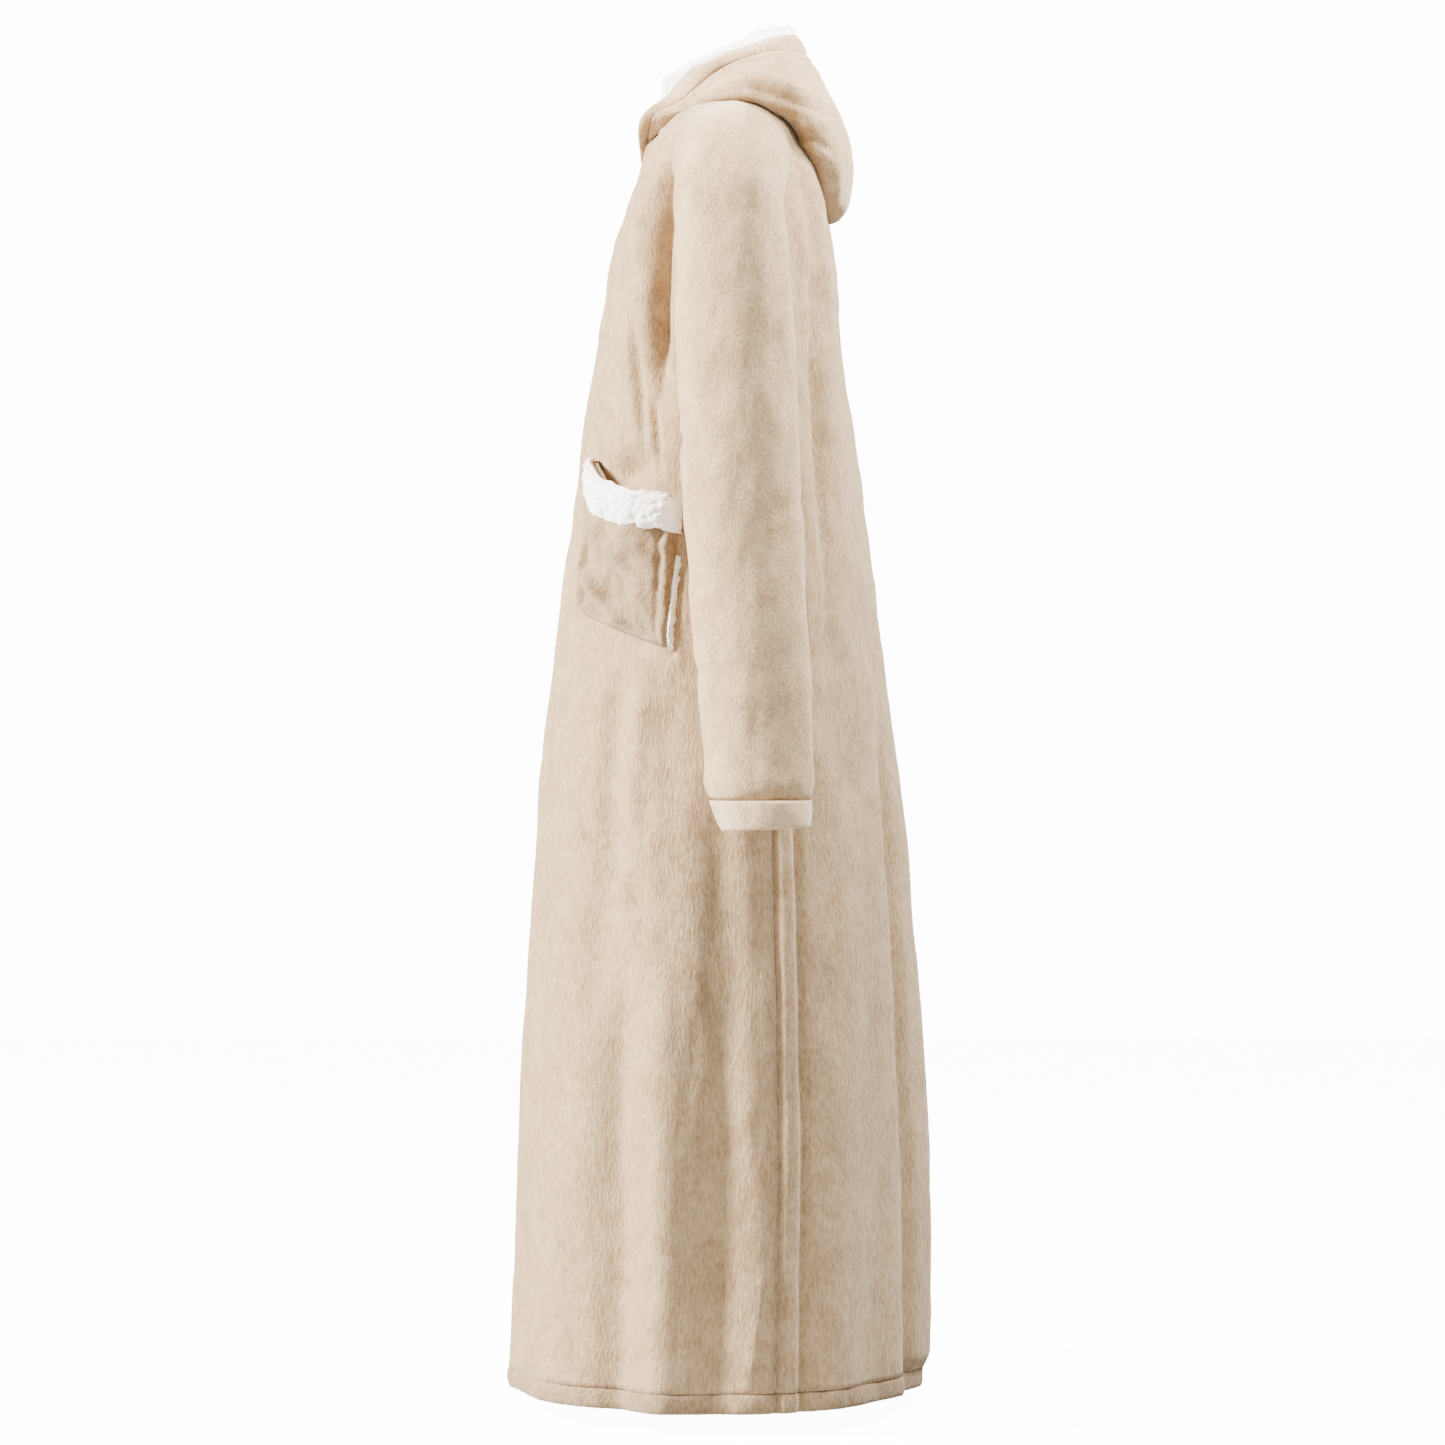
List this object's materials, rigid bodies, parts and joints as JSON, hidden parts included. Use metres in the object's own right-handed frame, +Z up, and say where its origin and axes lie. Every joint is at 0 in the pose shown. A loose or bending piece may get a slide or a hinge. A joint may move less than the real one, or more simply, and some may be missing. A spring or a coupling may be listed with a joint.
{
  "type": "hooded bathrobe",
  "caption": "Full-length hooded plush bathrobe, worn shape, with a pile lining, cuffed sleeves, patch pockets, hem bands and a front zip.",
  "frame": {"origin": "the point between the shoulders, level with the neck seam, where the wearer or a hanger carries the robe", "axes": "+Z up, -Y out of the garment's front, +X towards the wearer's left"},
  "size_m": [0.682, 0.4315, 1.3955],
  "materials": {
    "plush": "beige short-pile plush fleece with a soft sheen",
    "pile": "off-white curly deep-pile fleece",
    "tape": "woven polyester tape",
    "zip_nylon": "moulded nylon",
    "zip_metal": "satin cast metal"
  },
  "bodies": {
    "torso": {"back_panel": "plush", "back_lining": "pile", "hem_band_back": "plush", "neck_tape": "tape", "hanging_loop": "tape", "zip_bottom_stop": "zip_metal", "front_panel_left": "plush", "front_panel_right": "plush", "front_lining_left": "pile", "front_lining_right": "pile", "hem_band_front_left": "plush", "hem_band_front_right": "plush", "pocket_left": "plush", "pocket_right": "plush", "pocket_lining_left": "pile", "pocket_lining_right": "pile", "pocket_trim_left": "pile", "pocket_trim_right": "pile", "zip_tape_left": "tape", "zip_tape_right": "tape", "zip_teeth_left": "zip_nylon", "zip_teeth_right": "zip_nylon", "zip_top_stop_left": "zip_metal", "zip_top_stop_right": "zip_metal"},
    "hood": {"hood_panel_left": "plush", "hood_panel_right": "plush", "hood_lining_left": "pile", "hood_lining_right": "pile", "hood_brim_left": "plush", "hood_brim_right": "plush"},
    "sleeve_left": {"sleeve_left": "plush", "sleeve_lining_left": "pile", "cuff_left": "plush"},
    "sleeve_right": {"sleeve_right": "plush", "sleeve_lining_right": "pile", "cuff_right": "plush"},
    "slider": {"zip_slider": "zip_metal"},
    "pull": {"zip_pull": "zip_metal"}
  },
  "joints": [
    {"name": "hood_raise", "type": "hinge", "parent": "torso", "child": "hood", "pos_m": [0, -0.08, -0.062], "axis": [1, 0, 0], "range_deg": [0, 38]},
    {"name": "sleeve_left_swing", "type": "hinge", "parent": "torso", "child": "sleeve_left", "pos_m": [0.195, 0.02, -0.082], "axis": [-1, 0, 0], "range_deg": [-20, 75]},
    {"name": "sleeve_right_swing", "type": "hinge", "parent": "torso", "child": "sleeve_right", "pos_m": [-0.195, 0.02, -0.082], "axis": [-1, 0, 0], "range_deg": [-20, 75]},
    {"name": "zip_travel", "type": "slide", "parent": "torso", "child": "slider", "axis": [0, -0.1217, -0.9926], "range_m": [0, 0.9184]},
    {"name": "zip_pull_swing", "type": "hinge", "parent": "slider", "child": "pull", "pos_m": [0, -0.07778, -0.08515], "axis": [-1, 0, 0], "range_deg": [0, 130]}
  ]
}
